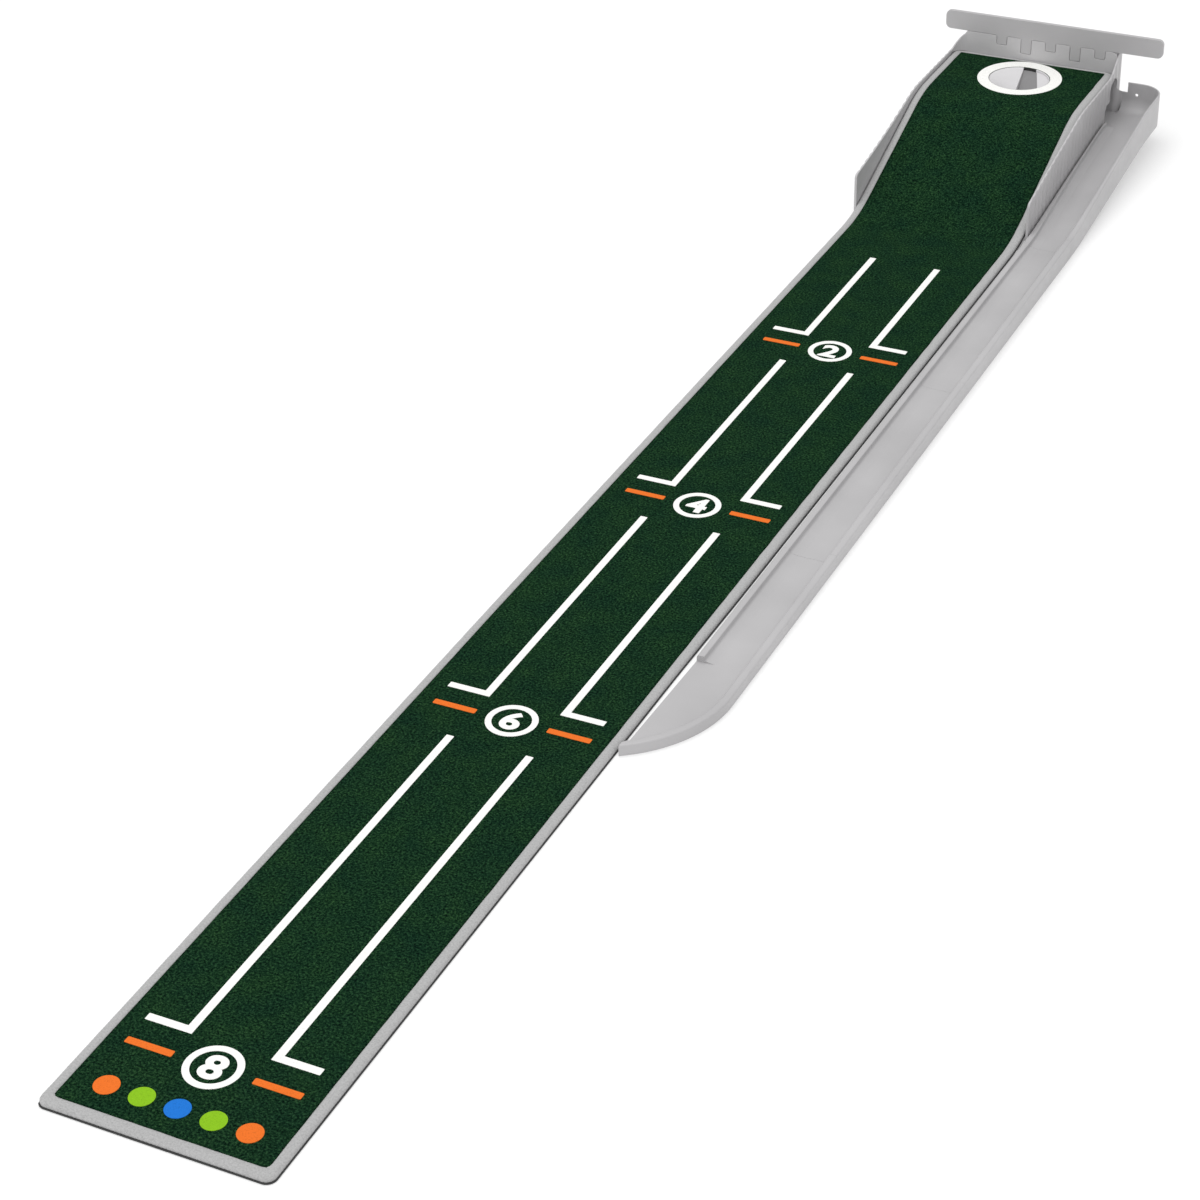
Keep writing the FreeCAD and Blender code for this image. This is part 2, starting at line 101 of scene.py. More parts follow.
# ---------------------------------------------------------------- materials
def new_material(name, color, roughness):
    made = bpy.data.materials.new(name)
    made.use_nodes = True
    shader = made.node_tree.nodes["Principled BSDF"]
    shader.inputs["Base Color"].default_value = (*color, 1)
    shader.inputs["Roughness"].default_value = roughness
    return made, shader


def add(made, kind, **values):
    """A node whose inputs are given by name, with spaces as underscores."""
    node = made.node_tree.nodes.new(kind)
    for name, given in values.items():
        if hasattr(node, name):
            setattr(node, name, given)
        else:
            node.inputs[name.replace("_", " ")].default_value = given
    return node


def link(made, source, target):
    made.node_tree.links.new(source, target)


def place_of(made):
    """Object coordinates in metres."""
    return add(made, "ShaderNodeTexCoord").outputs["Object"]


def noise_of(made, place, scale, detail=2.0, roughness=0.5):
    grain = add(made, "ShaderNodeTexNoise", Scale=scale, Detail=detail, Roughness=roughness)
    link(made, place, grain.inputs["Vector"])
    return grain.outputs["Fac"]


def ramp_of(made, source, *stops):
    """A colour ramp through (position, (r, g, b)) stops."""
    ramp = add(made, "ShaderNodeValToRGB")
    line = ramp.color_ramp
    while len(line.elements) < len(stops):
        line.elements.new(0.5)
    for element, (position, color) in zip(line.elements, stops):
        element.position = position
        element.color = (*color, 1)
    link(made, source, ramp.inputs["Fac"])
    return ramp.outputs["Color"]


def blend_of(made, kind, factor, first, second):
    mixer = add(made, "ShaderNodeMix")
    mixer.data_type = "RGBA"
    mixer.blend_type = kind
    mixer.inputs["Factor"].default_value = factor
    link(made, first, mixer.inputs["A"])
    link(made, second, mixer.inputs["B"])
    return mixer.outputs["Result"]


def bump_of(made, shader, source, strength, distance):
    bump = add(made, "ShaderNodeBump", Strength=strength, Distance=distance)
    link(made, source, bump.inputs["Height"])
    link(made, bump.outputs["Normal"], shader.inputs["Normal"])


def grey(level, tint=(1, 1, 1)):
    return tuple(level * part for part in tint)


def plastic(name, level):
    """Moulded plastic: a fine grain, a slight cloudiness and a soft gloss."""
    tint, roughness = (1.0, 0.985, 1.0), 0.34
    made, shader = new_material(name, grey(level, tint), roughness)
    place = place_of(made)
    cloud = noise_of(made, place, 7, 3)
    tone = ramp_of(made, cloud, (0.3, grey(level * 0.93, tint)), (0.7, grey(level * 1.05, tint)))
    link(made, tone, shader.inputs["Base Color"])
    wear = noise_of(made, place, 60, 4)
    gloss = add(made, "ShaderNodeMapRange", To_Min=roughness - 0.07, To_Max=roughness + 0.1)
    link(made, wear, gloss.inputs["Value"])
    link(made, gloss.outputs["Result"], shader.inputs["Roughness"])
    bump_of(made, shader, noise_of(made, place, 1800, 2), 0.12, 0.0002)
    shader.inputs["Specular IOR Level"].default_value = 0.45
    return made


def turf_material(name):
    """Needle-punched turf: fine dark tufts with lighter tips and a slow mottle."""
    made, shader = new_material(name, (0.006, 0.040, 0.016), 1.0)
    place = place_of(made)
    tufts = noise_of(made, place, 330, 4, 0.75)
    fine = ramp_of(made, tufts, (0.36, (0.0008, 0.005, 0.003)), (0.50, (0.006, 0.028, 0.013)),
                   (0.66, (0.030, 0.088, 0.036)))
    patch = noise_of(made, place, 22, 3)
    mottle = ramp_of(made, patch, (0.3, (0.70, 0.78, 0.86)), (0.7, (1.16, 1.08, 0.92)))
    link(made, blend_of(made, "MULTIPLY", 1.0, fine, mottle), shader.inputs["Base Color"])
    bump_of(made, shader, noise_of(made, place, 420, 3, 0.7), 0.8, 0.002)
    shader.inputs["Specular IOR Level"].default_value = 0.02
    return made


def print_material(name, color):
    """Ink on the turf: matt, with the pile's grain showing through."""
    made, shader = new_material(name, color, 0.85)
    place = place_of(made)
    grain = noise_of(made, place, 700, 3, 0.6)
    low = tuple(part * 0.80 for part in color)
    tone = ramp_of(made, grain, (0.32, low), (0.5, color))
    link(made, tone, shader.inputs["Base Color"])
    bump_of(made, shader, grain, 0.35, 0.0008)
    shader.inputs["Specular IOR Level"].default_value = 0.15
    return made


def yarn_material(name, level):
    """Overlock yarn: fine strands with slightly darker gaps."""
    made, shader = new_material(name, grey(level), 0.9)
    place = place_of(made)
    strands = noise_of(made, place, 420, 4, 0.7)
    tone = ramp_of(made, strands, (0.34, grey(level * 0.8)), (0.52, grey(level)),
                   (0.68, grey(level * 1.1)))
    link(made, tone, shader.inputs["Base Color"])
    bump_of(made, shader, strands, 0.2, 0.0004)
    shader.inputs["Sheen Weight"].default_value = 0.15
    shader.inputs["Specular IOR Level"].default_value = 0.15
    return made


def rubber_material(name, level):
    made, shader = new_material(name, grey(level), 0.8)
    place = place_of(made)
    cells = noise_of(made, place, 900, 2)
    tone = ramp_of(made, cells, (0.3, grey(level * 0.6)), (0.7, grey(level * 1.4)))
    link(made, tone, shader.inputs["Base Color"])
    bump_of(made, shader, cells, 0.4, 0.0006)
    return made


def steel_material(name):
    made, shader = new_material(name, (0.62, 0.62, 0.64), 0.3)
    shader.inputs["Metallic"].default_value = 1.0
    place = place_of(made)
    scratches = noise_of(made, place, 1500, 2)
    tone = ramp_of(made, scratches, (0.3, grey(0.5)), (0.7, grey(0.68)))
    link(made, tone, shader.inputs["Base Color"])
    bump_of(made, shader, scratches, 0.1, 0.0002)
    return made


TURF = turf_material("turf_green")
WHITE_PRINT = print_material("print_white", (0.93, 0.93, 0.90))
ORANGE_PRINT = print_material("print_orange", (0.80, 0.165, 0.02))
GREEN_PRINT = print_material("print_lime", (0.24, 0.50, 0.012))
BLUE_PRINT = print_material("print_blue", (0.012, 0.17, 0.62))
BINDING = yarn_material("binding_yarn", 0.42)
PLASTIC = plastic("moulded_plastic", 0.45)
# The walls are the same moulded plastic as the ramp, made lighter: painted light on the walls.
WALL_PLASTIC_PAINTED_LIGHT = plastic("wall_plastic_painted_light", 0.52)
CHUTE_PLASTIC = plastic("chute_plastic", 0.44)
# The cup's slope, round wall and facet: the same plastic made much lighter, painted light where the cup's inside
# is lit.
CUP_PLASTIC_PAINTED_LIGHT = plastic("cup_plastic_painted_light", 0.66)
# The cup's floor: the same plastic made much darker, painted shade in the cup and its tunnel.
CUP_FLOOR_PAINTED_SHADE = plastic("cup_floor_painted_shade", 0.24)
BACKING = rubber_material("backing_foam", 0.03)
RUBBER = rubber_material("foot_rubber", 0.02)
TAPE = rubber_material("hook_tape", 0.015)
STEEL = steel_material("screw_steel")


# ---------------------------------------------------------------- mesh helpers
def rounded(corners, steps=5):
    """A closed outline through (x, y) corners; a third entry gives a corner's radius."""
    points = []
    count = len(corners)
    for index, corner in enumerate(corners):
        here = Vector(corner[:2])
        if len(corner) < 3 or not corner[2]:
            points.append(here)
            continue
        into = (here - Vector(corners[index - 1][:2])).normalized()
        out = (Vector(corners[(index + 1) % count][:2]) - here).normalized()
        turn = into.angle(out)
        reach = corner[2] * math.tan(turn / 2)
        start = here - into * reach
        side = 1 if into.cross(out) > 0 else -1
        centre = start + Vector((-into.y, into.x)) * side * corner[2]
        arm = start - centre
        for step in range(steps + 1):
            angle = side * turn * step / steps
            points.append(centre + Vector((arm.x * math.cos(angle) - arm.y * math.sin(angle),
                                           arm.x * math.sin(angle) + arm.y * math.cos(angle))))
    return points


def loft(rings, closed=True, caps=True):
    """Faces between rings of equally many points; the ends are closed unless caps is off."""
    count = len(rings[0])
    verts = [tuple(point) for ring in rings for point in ring]
    faces = []
    for row in range(len(rings) - 1):
        low, high = row * count, (row + 1) * count
        for index in range(count if closed else count - 1):
            after = (index + 1) % count
            faces.append((low + index, low + after, high + after, high + index))
    if caps and closed:
        faces.append(tuple(range(count)))
        faces.append(tuple(range(len(verts) - count, len(verts)))[::-1])
    return verts, faces


def joined(*parts):
    """Several (verts, faces) pairs as one."""
    verts, faces = [], []
    for more, links in parts:
        start = len(verts)
        verts += more
        faces += [tuple(start + index for index in face) for face in links]
    return verts, faces


def prism(outline, place, low, high):
    """An outline carried from low to high; place(u, v, w) says where its points are."""
    return loft([[place(point[0], point[1], level) for point in outline] for level in (low, high)])


def upright_x(u, v, w):
    """An outline drawn in (y, z) and carried along x."""
    return w, u, v


def upright_y(u, v, w):
    """An outline drawn in (x, z) and carried along y."""
    return u, w, v


def flat_z(u, v, w):
    return u, v, w


def make_piece(name, shape, body, material, replaces=(), smooth=35, bevel=0.0):
    """A piece from (verts, faces) in the design frame, riding on a body of the frame."""
    verts, faces = shape
    mesh = bpy.data.meshes.new(name)
    mesh.from_pydata([to_world(point) for point in verts], [], faces)
    edit = bmesh.new()
    edit.from_mesh(mesh)
    bmesh.ops.remove_doubles(edit, verts=edit.verts, dist=0.00001)
    bmesh.ops.recalc_face_normals(edit, faces=edit.faces)
    edit.to_mesh(mesh)
    edit.free()
    mesh.shade_smooth()
    piece = bpy.data.objects.new(name, mesh)
    bpy.context.scene.collection.objects.link(piece)
    mesh.materials.append(material)
    if bevel:
        rounding = piece.modifiers.new("edges", "BEVEL")
        rounding.width = bevel * MM
        rounding.segments = 3
        rounding.limit_method = "ANGLE"
        rounding.angle_limit = math.radians(32)
        rounding.harden_normals = True
    else:
        mesh.set_sharp_from_angle(angle=math.radians(smooth))
    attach(piece, body)
    if replaces:
        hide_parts(*replaces)
    return piece


def carve(piece, shape):
    """Take the (verts, faces) shape out of a piece."""
    verts, faces = shape
    mesh = bpy.data.meshes.new("cutter")
    mesh.from_pydata([to_world(point) for point in verts], [], faces)
    edit = bmesh.new()
    edit.from_mesh(mesh)
    bmesh.ops.recalc_face_normals(edit, faces=edit.faces)
    edit.to_mesh(mesh)
    edit.free()
    cutter = bpy.data.objects.new("cutter", mesh)
    bpy.context.scene.collection.objects.link(cutter)
    step = piece.modifiers.new("cut", "BOOLEAN")
    step.object = cutter
    step.solver = "EXACT"
    others = [other for other in piece.modifiers if other != step]
    for other in others:
        other.show_viewport = False
    bpy.context.view_layer.update()
    view = bpy.context.evaluated_depsgraph_get()
    result = bpy.data.meshes.new_from_object(piece.evaluated_get(view))
    piece.modifiers.remove(step)
    for other in others:
        other.show_viewport = True
    old = piece.data
    piece.data = result
    result.name = piece.name
    bpy.data.meshes.remove(old)
    bpy.data.objects.remove(cutter)
    bpy.data.meshes.remove(mesh)


def finish_node(node, material):
    """Give a CAD node that stays visible its procedural material."""
    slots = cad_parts[node].data.materials
    slots.clear()
    slots.append(material)


def steps_between(start, end, size):
    count = max(1, round(abs(end - start) / size))
    return [start + (end - start) * index / count for index in range(count + 1)]


# ---------------------------------------------------------------- the mat
HALF_TURF = TURF_HIGH.x
FAR_STRIP = 6.0                               # width of the band along the far edge
TURF_GRID = 4.45                              # spacing of the pile's mesh
HOLE_PATCH = 15                               # half the columns of the square patch round the hole
PILE_DEPTH, PILE_WAVE, WAVE_LENGTH = 2.6, 0.18, 3.1

# The soft edges wander: the pile's left edge stands further out, and the band's outer
# line is drawn in on the right and, towards the near end, on the left.
EDGE_FROM = 100.0                             # nothing nearer to the centre line is moved
TURF_SPREAD, SPREAD_FROM, SPREAD_RUN, SPREAD_WIDTH = 4.0, -2540, 1040, 33
PULL_WIDTH = 40.0
RIGHT_PULL, RIGHT_PULL_MORE, RIGHT_FROM, RIGHT_RUN = 1.0, 1.8, -1350, 200
LEFT_PULL, LEFT_FROM, LEFT_RUN = 4.2, -1300, 1240


def limited(value):
    return min(1.0, max(0.0, value))


def turf_edge(x, y):
    """Where a point of the pile lies across the mat once the left edge is spread."""
    along = limited((y - SPREAD_FROM) / SPREAD_RUN)
    return x - TURF_SPREAD * along * limited((-x - EDGE_FROM) / SPREAD_WIDTH)


def band_edge(x, y):
    """Where a point of the band's outer line lies across the mat once it is drawn in."""
    if x > 0:
        pull = RIGHT_PULL + RIGHT_PULL_MORE * limited((RIGHT_FROM - y) / RIGHT_RUN)
        return x - pull * limited((x - EDGE_FROM) / PULL_WIDTH)
    return x + LEFT_PULL * limited((LEFT_FROM - y) / LEFT_RUN) * limited((-x - EDGE_FROM) / PULL_WIDTH)


def make_turf():
    """The pile as a fine grid with a round hole, then thickened downwards."""
    columns = steps_between(-HALF_TURF, HALF_TURF, TURF_GRID)
    rows = steps_between(HOLE_Y, TURF_LOW.y, TURF_GRID)[::-1]
    rows += steps_between(HOLE_Y, TURF_HIGH.y - FAR_STRIP / 2, TURF_GRID)[1:]
    middle_column, middle_row = len(columns) // 2, rows.index(HOLE_Y)
    index_of, verts, faces = {}, [], []

    def vertex(x, y):
        key = round(x, 4), round(y, 4)
        if key not in index_of:
            index_of[key] = len(verts)
            wave = noise.noise(Vector((x, y, 0)) / WAVE_LENGTH)
            verts.append(on_turf(turf_edge(x, y), y, PILE_WAVE * wave - PILE_WAVE))
        return index_of[key]

    def in_patch(column, row):
        across, along = abs(column - middle_column + 0.5), abs(row - middle_row + 0.5)
        return across < HOLE_PATCH and along < HOLE_PATCH

    for row in range(len(rows) - 1):
        for column in range(len(columns) - 1):
            if not in_patch(column, row):
                left, right = columns[column], columns[column + 1]
                near, far = rows[row], rows[row + 1]
                faces.append((vertex(left, near), vertex(right, near),
                              vertex(right, far), vertex(left, far)))
    low_c, high_c = middle_column - HOLE_PATCH, middle_column + HOLE_PATCH
    low_r, high_r = middle_row - HOLE_PATCH, middle_row + HOLE_PATCH
    rim = [(columns[c], rows[low_r]) for c in range(low_c, high_c)]
    rim += [(columns[high_c], rows[r]) for r in range(low_r, high_r)]
    rim += [(columns[c], rows[high_r]) for c in range(high_c, low_c, -1)]
    rim += [(columns[low_c], rows[r]) for r in range(high_r, low_r, -1)]
    rings = []
    for share in (0, 0.5, 1):
        ring = []
        for x, y in rim:
            away = math.hypot(x, y - HOLE_Y)
            reach = HOLE_RADIUS + (away - HOLE_RADIUS) * share
            if share == 1:
                ring.append(vertex(x, y))
            else:
                ring.append(vertex(x * reach / away, HOLE_Y + (y - HOLE_Y) * reach / away))
        rings.append(ring)
    for inner, outer in zip(rings, rings[1:]):
        for index in range(len(rim)):
            after = (index + 1) % len(rim)
            faces.append((outer[index], outer[after], inner[after], inner[index]))
    turf = make_piece("turf", (verts, faces), "mat", TURF, replaces=["turf_pile"], smooth=80)
    if sum(face.normal.z for face in turf.data.polygons) < 0:
        turf.data.flip_normals()
    thick = turf.modifiers.new("pile_depth", "SOLIDIFY")
    thick.thickness = PILE_DEPTH * MM
    thick.offset = -1
    return turf


BINDING_WIDTH = MAT_HIGH.x - HALF_TURF
STITCH, STATION = 4.6, 0.95                   # stitch length, and the spacing of the sections
CORNER = 12.0
NEAR_INNER, FAR_INNER = 9.0, 3.0
TURN_STEPS = 24
BASE_OUT, BASE_TOP, BASE_UNDER, BASE_EVERY = 1.8, 1.9, 0.05, 4


def turn_round(outer_centre, outer_radius, inner_centre, inner_radius, start):
    """A quarter turn's pairs of outer and inner points, anticlockwise from start in quarters."""
    pairs = []
    for step in range(TURN_STEPS + 1):
        turn = (start + step / TURN_STEPS) * math.pi / 2
        way = Vector((math.cos(turn), math.sin(turn)))
        pairs.append((Vector(outer_centre) + way * outer_radius, Vector(inner_centre) + way * inner_radius))
    return pairs


def run_along(outer_start, outer_end, inner_start, inner_end):
    """The pairs between the ends of a straight stretch."""
    count = round((Vector(outer_end) - Vector(outer_start)).length / STATION)
    return [(Vector(outer_start).lerp(Vector(outer_end), step / count),
             Vector(inner_start).lerp(Vector(inner_end), step / count)) for step in range(1, count)]


def binding_path():
    """Pairs of outer and inner points anticlockwise round the mat, narrow along its far edge."""
    near, far, half, wide = MAT_LOW.y, MAT_HIGH.y, MAT_HIGH.x, BINDING_WIDTH
    corners = []
    for side_x, is_near, start in ((-1, False, 1), (-1, True, 2), (1, True, 3), (1, False, 0)):
        outer_r, inner_r = CORNER, NEAR_INNER if is_near else FAR_INNER
        outer_y = near + outer_r if is_near else far - outer_r
        inner_y = near + wide + inner_r if is_near else far - FAR_STRIP - inner_r
        corners.append(turn_round((side_x * (half - outer_r), outer_y), outer_r,
                                  (side_x * (half - wide - inner_r), inner_y), inner_r, start))
    pairs = []
    for corner, following in zip(corners, corners[1:] + corners[:1]):
        pairs += corner + run_along(corner[-1][0], following[0][0], corner[-1][1], following[0][1])
    return [(Vector((band_edge(*outer), outer.y)), Vector((turf_edge(*inner), inner.y)))
            for outer, inner in pairs]


# share of the band's width from the outer edge, and height over the mat's thickness
BAND_SECTION = ((0.0, 0.26), (0.0, 0.72), (0.07, 0.98), (0.24, 1.14), (0.46, 1.19),
                (0.68, 1.13), (0.88, 0.98), (1.0, 0.80), (1.0, 0.10), (0.08, 0.24))


def make_binding():
    """Overlocked edge: a soft crowned band of yarn round the mat, ridged once per stitch,
    over a thin black rim of the backing that stands out under it."""
    rings, base, travelled, last = [], [], 0.0, None
    for outer, inner in binding_path():
        middle = outer.lerp(inner, 0.35)
        travelled += (middle - last).length if last else 0
        last = middle
        inward = (inner - outer).normalized()
        sway = 0.9 * noise.noise(Vector((travelled, 0, 3)) / 31)
        slack = 0.4 * noise.noise(Vector((travelled, 9, 3)) / 21)
        ring = []
        for share, height in BAND_SECTION:
            ridge = abs(math.sin(math.pi * (travelled + share * 5.0) / STITCH)) ** 0.6 - 0.7
            lift = (height - 1) * MAT_THICK + (0.5 * ridge + slack if height > 0.9 else 0)
            pull = sway if share == 1.0 else -0.35 * ridge if share == 0.0 else 0.0
            spot = outer.lerp(inner, share) + inward * pull
            ring.append(on_turf(spot.x, spot.y, lift))
        rings.append(ring)
        on_left = outer.x <= -MAT_HIGH.x + 6
        edge, inside = outer + inward * (0.4 if on_left else -BASE_OUT), outer.lerp(inner, 0.9)
        corners = (edge, BASE_UNDER), (edge, BASE_TOP), (inside, BASE_TOP), (inside, BASE_UNDER)
        base.append([on_turf(spot.x, spot.y, height - MAT_THICK) for spot, height in corners])
    make_piece("edge_base", loft(base[::BASE_EVERY] + base[:1], caps=False), "mat", BACKING)
    return make_piece("edge_band", loft(rings + rings[:1], caps=False), "mat", BINDING,
                      replaces=["edge_binding"], smooth=60)


# ---------------------------------------------------------------- printed marks
PRINT_TOP, PRINT_LOW = 0.35, -0.4
RING_PLACES = {"8": -2438.4, "6": -1731.0, "4": -1149.0, "2": -636.0}
RING_OUTER, RING_INNER = 34.4, 26.0
LINE_INNER, LINE_WIDTH, BAR_REACH = 50.8, 10.5, 111.8
BAR_AHEAD = 36.0
LINE_ENDS = {"8": -1791.0, "6": -1208.0, "4": -692.0, "2": -298.0}
FIGURE_HEIGHT, FIGURE_WIDEN = 39, 1.12
DASH_INNER, DASH_OUTER, DASH_BEHIND, DASH_AHEAD, DASH_ROUND = 51.2, 111.9, 5.2, 4.6, 1.6
TARGET_RADIUS, TARGET_STEPS = 75.0, 96
DOT_ROW, DOT_RADIUS, DOT_PITCH, DOT_STEPS = -2509, 15, 45, 48


def printed(outline):
    return prism(outline, on_turf, PRINT_LOW, PRINT_TOP)


def annulus(centre_y, inner, outer, count=72, longer=0.0, further=0.0):
    """A flat printed ring, whose outer edge may be longer than wide and lie further back."""
    rings = []
    for step in range(count):
        turn = 2 * math.pi * step / count
        across, along = math.cos(turn), math.sin(turn)
        ring = []
        for radius, lift in ((inner, PRINT_LOW), (inner, PRINT_TOP), (outer, PRINT_TOP), (outer, PRINT_LOW)):
            stretch, shift = (longer, further) if radius == outer else (0.0, 0.0)
            ring.append(on_turf(radius * across, centre_y + shift + (radius + stretch) * along, lift))
        rings.append(ring)
    return loft(rings + rings[:1], caps=False)


def aiming_bracket(side, name):
    """An L: a cross bar at its foot and a long line that runs on towards the cup."""
    near = RING_PLACES[name] + BAR_AHEAD
    end = LINE_ENDS[name]
    soft = 0.9
    corners = [(LINE_INNER, near, 0.5), (BAR_REACH, near, soft), (BAR_REACH, near + LINE_WIDTH, soft),
               (LINE_INNER + LINE_WIDTH, near + LINE_WIDTH, 0.5), (LINE_INNER + LINE_WIDTH, end, soft),
               (LINE_INNER, end, soft)]
    return printed(rounded([(side * x, y, radius) for x, y, radius in corners]))


def numeral(text, centre_y, height):
    """A bold figure from the built-in font, laid on the turf and given the print's depth."""
    curve = bpy.data.curves.new("figure", "FONT")
    curve.body = text
    curve.size = 1.0
    curve.offset = 0.035
    curve.resolution_u = 8
    shown = bpy.data.objects.new("figure", curve)
    bpy.context.scene.collection.objects.link(shown)
    bpy.context.view_layer.update()
    flat = bpy.data.meshes.new_from_object(shown.evaluated_get(bpy.context.evaluated_depsgraph_get()))
    bpy.data.objects.remove(shown)
    bpy.data.curves.remove(curve)
    edit = bmesh.new()
    edit.from_mesh(flat)
    bpy.data.meshes.remove(flat)
    bmesh.ops.remove_doubles(edit, verts=edit.verts, dist=1e-5)
    low = Vector((min(v.co.x for v in edit.verts), min(v.co.y for v in edit.verts)))
    high = Vector((max(v.co.x for v in edit.verts), max(v.co.y for v in edit.verts)))
    scale = height / (high.y - low.y)
    middle = (low + high) / 2
    edit.verts.index_update()
    spots = [((vert.co.x - middle.x) * scale, (vert.co.y - middle.y) * scale) for vert in edit.verts]
    count = len(edit.verts)
    verts = [on_turf(FIGURE_WIDEN * x, centre_y + y, lift) for lift in (PRINT_TOP, PRINT_LOW)
             for x, y in spots]
    faces = [tuple(vert.index for vert in face.verts) for face in edit.faces]
    faces += [tuple(count + index for index in face[::-1]) for face in faces]
    for edge in edit.edges:
        if edge.is_boundary:
            first, second = (vert.index for vert in edge.verts)
            faces.append((first, second, count + second, count + first))
    edit.free()
    return verts, faces


def make_print():
    rings = [annulus(y, RING_INNER, RING_OUTER) for y in RING_PLACES.values()]
    make_piece("distance_rings", joined(*rings), "mat", WHITE_PRINT)
    figures = [numeral(text, y, FIGURE_HEIGHT) for text, y in RING_PLACES.items()]
    make_piece("distance_figures", joined(*figures), "mat", WHITE_PRINT)
    brackets = [aiming_bracket(side, name) for name in RING_PLACES for side in (-1, 1)]
    make_piece("aiming_lines", joined(*brackets), "mat", WHITE_PRINT)
    dashes = []
    for y in RING_PLACES.values():
        for side in (-1, 1):
            inner, outer = side * DASH_INNER, side * DASH_OUTER
            corners = ((inner, y - DASH_BEHIND), (outer, y - DASH_BEHIND),
                       (outer, y + DASH_AHEAD), (inner, y + DASH_AHEAD))
            dashes.append(printed(rounded([(*corner, DASH_ROUND) for corner in corners])))
    make_piece("stance_dashes", joined(*dashes), "mat", ORANGE_PRINT)
    target = annulus(HOLE_Y, HOLE_RADIUS + 0.3, TARGET_RADIUS, TARGET_STEPS, longer=2.5, further=1.4)
    make_piece("cup_ring", target, "mat", WHITE_PRINT)
    dots = {"orange": (ORANGE_PRINT, (-2, 2)), "lime": (GREEN_PRINT, (-1, 1)), "blue": (BLUE_PRINT, (0,))}
    turns = [2 * math.pi * step / DOT_STEPS for step in range(DOT_STEPS)]
    for name, (ink, places) in dots.items():
        discs = [[(place * DOT_PITCH + DOT_RADIUS * math.cos(turn), DOT_ROW + DOT_RADIUS * math.sin(turn))
                  for turn in turns] for place in places]
        shape = joined(*(printed(disc) for disc in discs))
        make_piece("colour_dots_" + name, shape, "mat", ink)


# ---------------------------------------------------------------- the ramp
WALL_IN, WALL_OUT = 152.0, 156.0
WALL_FRONT, WALL_BACK = -130.0, 384.0
WALL_FOOT_TOP, WALL_LEVEL = 70.0, 122.0
REAR_TOP = 155.0
FLUTE_PITCH = 20.0


LEVEL_FROM, SWEEP_FROM, SWEEP_TO = 150.0, 318.0, 372.0
SOFT_BEND, FRONT_ROUND, LEFT_DIP = 26.0, 6.0, 4.0


def wall_top(y, side):
    """Height of a side wall's top edge: it rises to a level stretch, with a slight dip on
    the left, and on the right it then sweeps up into the rear wall."""
    length = LEVEL_FROM - WALL_FRONT
    rise = (WALL_LEVEL - WALL_FOOT_TOP) / length
    top = WALL_LEVEL if y > LEVEL_FROM + SOFT_BEND else WALL_FOOT_TOP + (y - WALL_FRONT) * rise
    if side < 0 and y < LEVEL_FROM:
        top -= LEFT_DIP * math.sin(math.pi * min(1.0, (y - WALL_FRONT) / length))
    if abs(y - LEVEL_FROM) <= SOFT_BEND:
        share = (y - LEVEL_FROM + SOFT_BEND) / (2 * SOFT_BEND)
        dip = LEFT_DIP * math.sin(math.pi * (SOFT_BEND - 0.1) / length) if side < 0 else 0
        top = WALL_LEVEL - (rise * SOFT_BEND + dip) * (1 - share) ** 2
    if y < WALL_FRONT + FRONT_ROUND:
        top -= FRONT_ROUND - math.sqrt(FRONT_ROUND ** 2 - (WALL_FRONT + FRONT_ROUND - y) ** 2)
    if side > 0 and y > SWEEP_FROM:
        share = min(1.0, (y - SWEEP_FROM) / (SWEEP_TO - SWEEP_FROM))
        top += (REAR_TOP - 2 - WALL_LEVEL) * (1 - math.cos(share * math.pi / 2)) ** 0.9
    return top


def make_side_wall(name, side):
    """A thin upright wall with soft flutes outside and a rounded top edge."""
    rings = []
    stations = steps_between(WALL_FRONT, WALL_FRONT + 6, 1) + steps_between(WALL_FRONT + 8, WALL_BACK, 2)
    for y in stations:
        top = wall_top(y, side)
        flute = 0.5 + 0.5 * math.cos(2 * math.pi * (y - WALL_FRONT) / FLUTE_PITCH)
        groove = 1.5 * flute ** 1.6 if y > WALL_FRONT + 10 else 0
        outer = WALL_OUT - groove
        section = [(WALL_IN, 2.0), (outer, 2.0), (outer, top - 12), (outer, top, 1.8), (WALL_IN, top, 1.8)]
        rings.append([(side * x, y, z) for x, z in rounded(section)])
    return make_piece(name, loft(rings), "ramp", WALL_PLASTIC_PAINTED_LIGHT,
                      replaces=[name.replace("_panel", "_wall")], smooth=40)


PORT_FRONT, PORT_ARCH, PORT_BACK = 297.0, 328.0, 366.0
PORT_LOW, PORT_STEP, PORT_TOP, PORT_ROUND = 34.0, 76.0, 112.0, 17.0


def port_outline():
    """The ball's way out: an arch whose foot flares forward to take the tray's floor."""
    return rounded([(PORT_FRONT, PORT_LOW), (PORT_BACK, PORT_LOW),
                    (PORT_BACK, PORT_TOP, PORT_ROUND), (PORT_ARCH, PORT_TOP, PORT_ROUND),
                    (PORT_ARCH, PORT_STEP + 4, 9), (PORT_FRONT, PORT_STEP - 4, 7)], 8)


def make_ramp():
    make_side_wall("left_side_panel", -1)
    right = make_side_wall("right_side_panel", 1)
    carve(right, prism(port_outline(), upright_x, WALL_IN - 5, WALL_OUT + 5))
    right.data.set_sharp_from_angle(angle=math.radians(40))
    make_corner_blend()
    make_rear_wall()
    make_backstop()
    make_cup()


